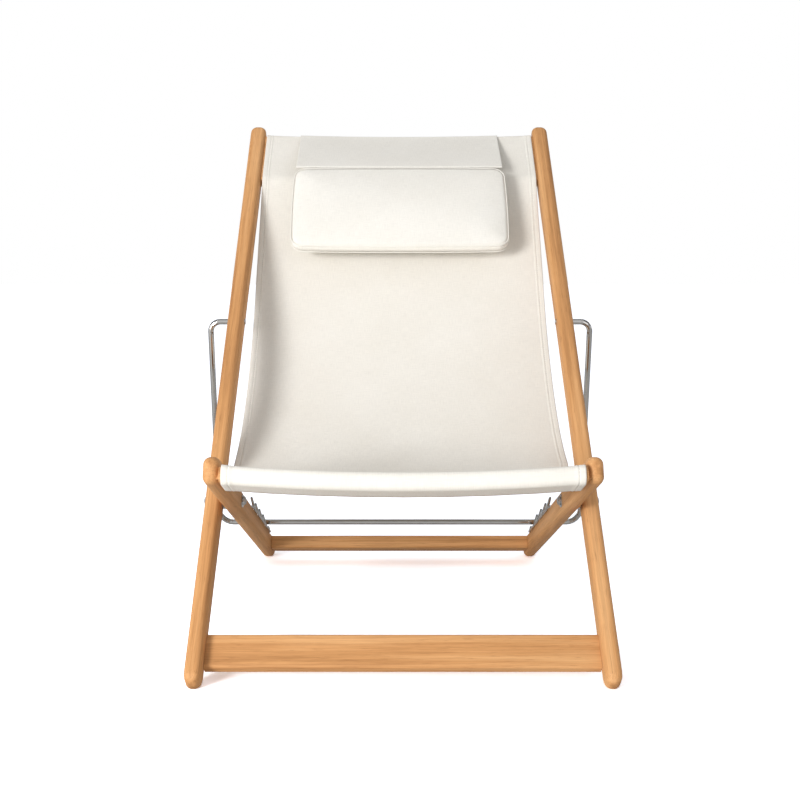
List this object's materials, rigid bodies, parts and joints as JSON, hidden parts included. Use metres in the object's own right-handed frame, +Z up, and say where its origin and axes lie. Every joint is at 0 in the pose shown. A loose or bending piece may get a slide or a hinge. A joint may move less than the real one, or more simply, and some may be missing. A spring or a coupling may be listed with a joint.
{
  "type": "folding deck chair",
  "caption": "Folding wooden deck chair with a cloth sling, a hanging head pillow and a bent steel bail that props the back frame on the notched seat frame.",
  "frame": {"origin": "middle of the footprint, on the floor under the feet", "axes": "+Z up, the chair faces -Y, +X to the right as seen from in front"},
  "size_m": [0.676, 0.9074, 0.8503],
  "materials": {
    "teak": "light brown hardwood that looks like teak, satin",
    "sling_cloth": "off-white woven canvas",
    "pillow_cloth": "off-white woven canvas, padded",
    "bail_steel": "polished steel rod",
    "hardware_steel": "plain steel fittings"
  },
  "bodies": {
    "back_frame": {"long_rail_left": "teak", "long_rail_right": "teak", "head_board": "teak", "front_stretcher": "teak", "pivot_bolt_left": "hardware_steel", "pivot_bolt_right": "hardware_steel", "pivot_spacer_left": "hardware_steel", "pivot_spacer_right": "hardware_steel", "pivot_washer_left": "hardware_steel", "pivot_washer_right": "hardware_steel", "pivot_nut_left": "hardware_steel", "pivot_nut_right": "hardware_steel", "sling": "sling_cloth", "headrest_strap": "pillow_cloth", "headrest_counterweight": "pillow_cloth", "headrest_pillow": "pillow_cloth"},
    "seat_frame": {"seat_rail_left": "teak", "seat_rail_right": "teak", "front_board": "teak", "rear_stretcher": "teak", "notch_rack_left": "hardware_steel", "notch_rack_right": "hardware_steel"},
    "bail": {"support_bail": "bail_steel"}
  },
  "joints": [
    {"name": "seat_fold", "type": "hinge", "parent": "back_frame", "child": "seat_frame", "pos_m": [0, -0.22255, 0.21476], "axis": [1, 0, 0], "range_deg": [0, 59], "deforming": ["sling"]},
    {"name": "bail_swing", "type": "hinge", "parent": "back_frame", "child": "bail", "pos_m": [0, 0.05263, 0.47318], "axis": [1, 0, 0], "range_deg": [0, 121]}
  ],
  "couplings": [
    {"joint": "bail_swing", "follows": "seat_fold", "ratio": 2.05}
  ]
}
